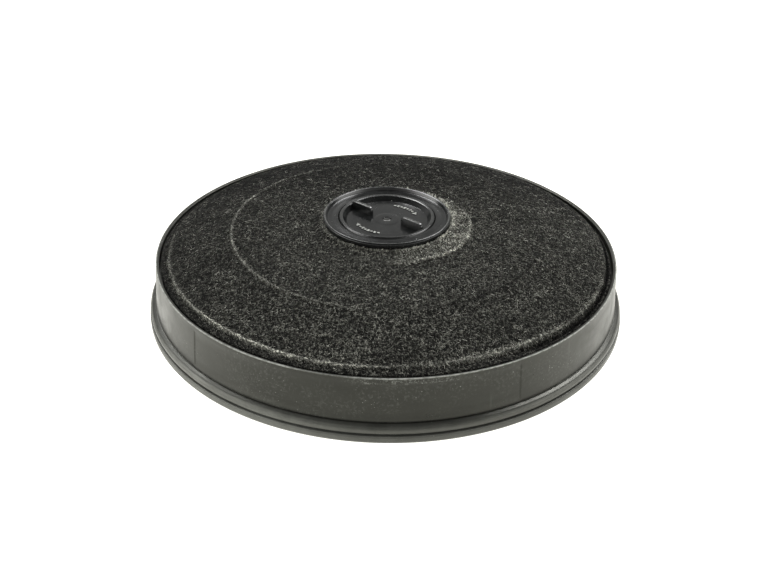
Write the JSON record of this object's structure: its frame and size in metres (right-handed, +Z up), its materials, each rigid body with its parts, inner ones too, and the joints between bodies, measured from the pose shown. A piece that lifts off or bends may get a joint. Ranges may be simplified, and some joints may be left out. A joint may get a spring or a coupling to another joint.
{
  "type": "cooker hood carbon filter",
  "caption": "Round recirculating cooker hood filter: felt-covered bed of carbon granules in a flanged black casing, with a recessed turning lock knob at the centre.",
  "frame": {"origin": "centre of the flat base rim, on the surface the filter lies on", "axes": "+Z up along the filter's axis, from the motor side to the knob; -Y towards the viewer of the picture, +X to the viewer's right"},
  "size_m": [0.24, 0.24, 0.0507],
  "materials": {
    "casing_plastic": "satin moulded black polypropylene",
    "base_plastic": "satin moulded black polypropylene",
    "hub_plastic": "semi-gloss moulded black polypropylene",
    "screw_steel": "zinc plated",
    "felt": "needle-punched non-woven with pale fibres",
    "carbon": "loose activated carbon granules"
  },
  "bodies": {
    "housing": {"casing": "casing_plastic", "base_grille": "base_plastic", "hub_sleeve": "base_plastic", "hub_collar": "hub_plastic", "top_felt": "felt", "base_felt": "felt", "carbon_bed": "carbon"},
    "knob": {"lock_knob": "hub_plastic", "knob_screw": "screw_steel", "lock_claw": "hub_plastic"}
  },
  "joints": [
    {"name": "knob_turn", "type": "hinge", "parent": "housing", "child": "knob", "pos_m": [0, 0, 0.045], "axis": [0, 0, 1], "range_deg": [0, 90]}
  ]
}
